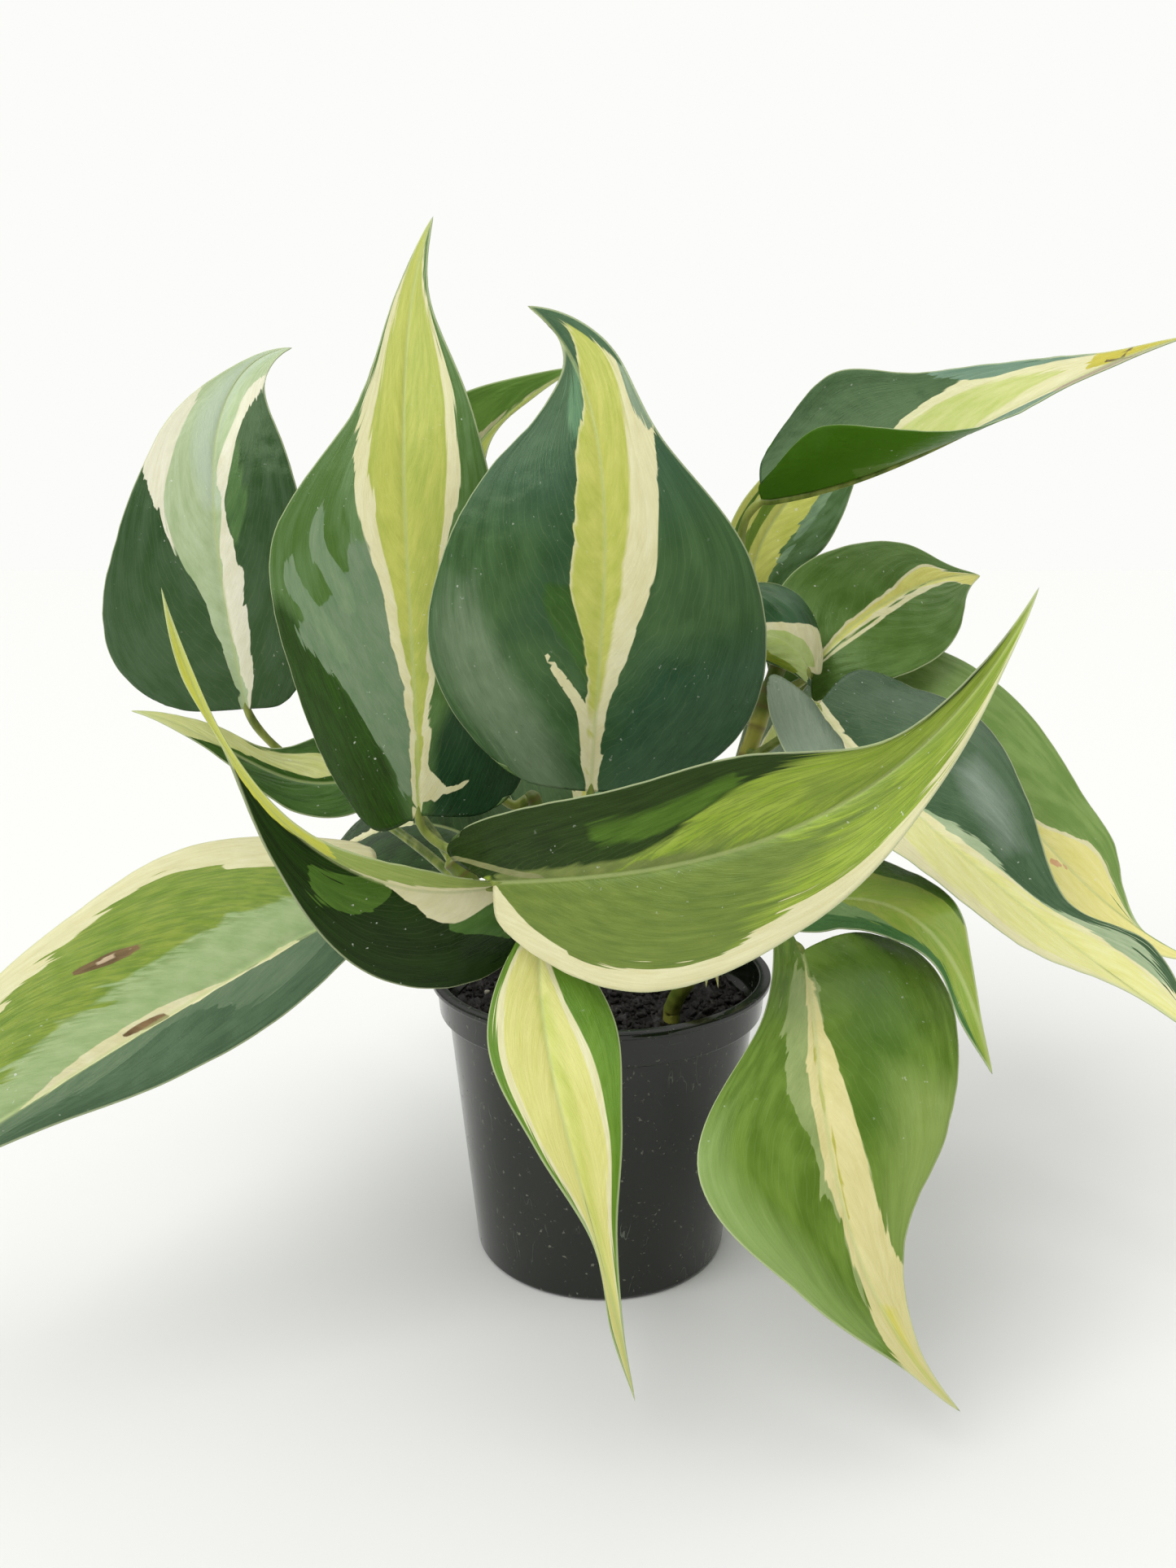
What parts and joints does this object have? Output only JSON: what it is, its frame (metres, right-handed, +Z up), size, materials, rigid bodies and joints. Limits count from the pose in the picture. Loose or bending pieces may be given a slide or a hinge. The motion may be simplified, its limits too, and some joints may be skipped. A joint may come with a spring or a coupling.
{
  "type": "potted silver stripe philodendron",
  "caption": "Young trailing philodendron with striped heart-shaped leaves on short stems, growing in a round tapered nursery pot filled with soil.",
  "frame": {"origin": "middle of the pot's flat base, on the pot's axis", "axes": "+X to the right and +Y to the back of the plant as pictured, +Z up along the pot's axis"},
  "size_m": [0.337, 0.2435, 0.2957],
  "materials": {
    "pot_plastic": "glossy",
    "potting_soil": "matte",
    "stem_green": "satin",
    "leaf_dark": "glossy",
    "leaf_lime": "glossy",
    "leaf_yellow": "glossy"
  },
  "bodies": {
    "root": {"pot": "pot_plastic", "soil": "potting_soil", "stem_left": "stem_green", "stem_middle": "stem_green", "stem_right": "stem_green", "stem_front": "stem_green", "stem_back": "stem_green", "leaf_far_left": "leaf_dark", "leaf_tall": "leaf_dark", "leaf_centre": "leaf_dark", "leaf_behind_tall": "leaf_dark", "leaf_upper_right": "leaf_dark", "leaf_upright_right": "leaf_lime", "leaf_curled": "leaf_dark", "leaf_round_right": "leaf_dark", "leaf_heart_right": "leaf_dark", "leaf_front": "leaf_lime", "leaf_right_back": "leaf_lime", "leaf_hanging_right": "leaf_dark", "leaf_hooked": "leaf_lime", "leaf_hanging_front": "leaf_yellow", "leaf_front_left": "leaf_dark", "leaf_lower_left": "leaf_lime", "leaf_small_left": "leaf_dark", "leaf_behind_centre": "leaf_dark", "leaf_back_left": "leaf_dark", "leaf_back": "leaf_dark", "leaf_back_right": "leaf_dark"}
  },
  "joints": []
}
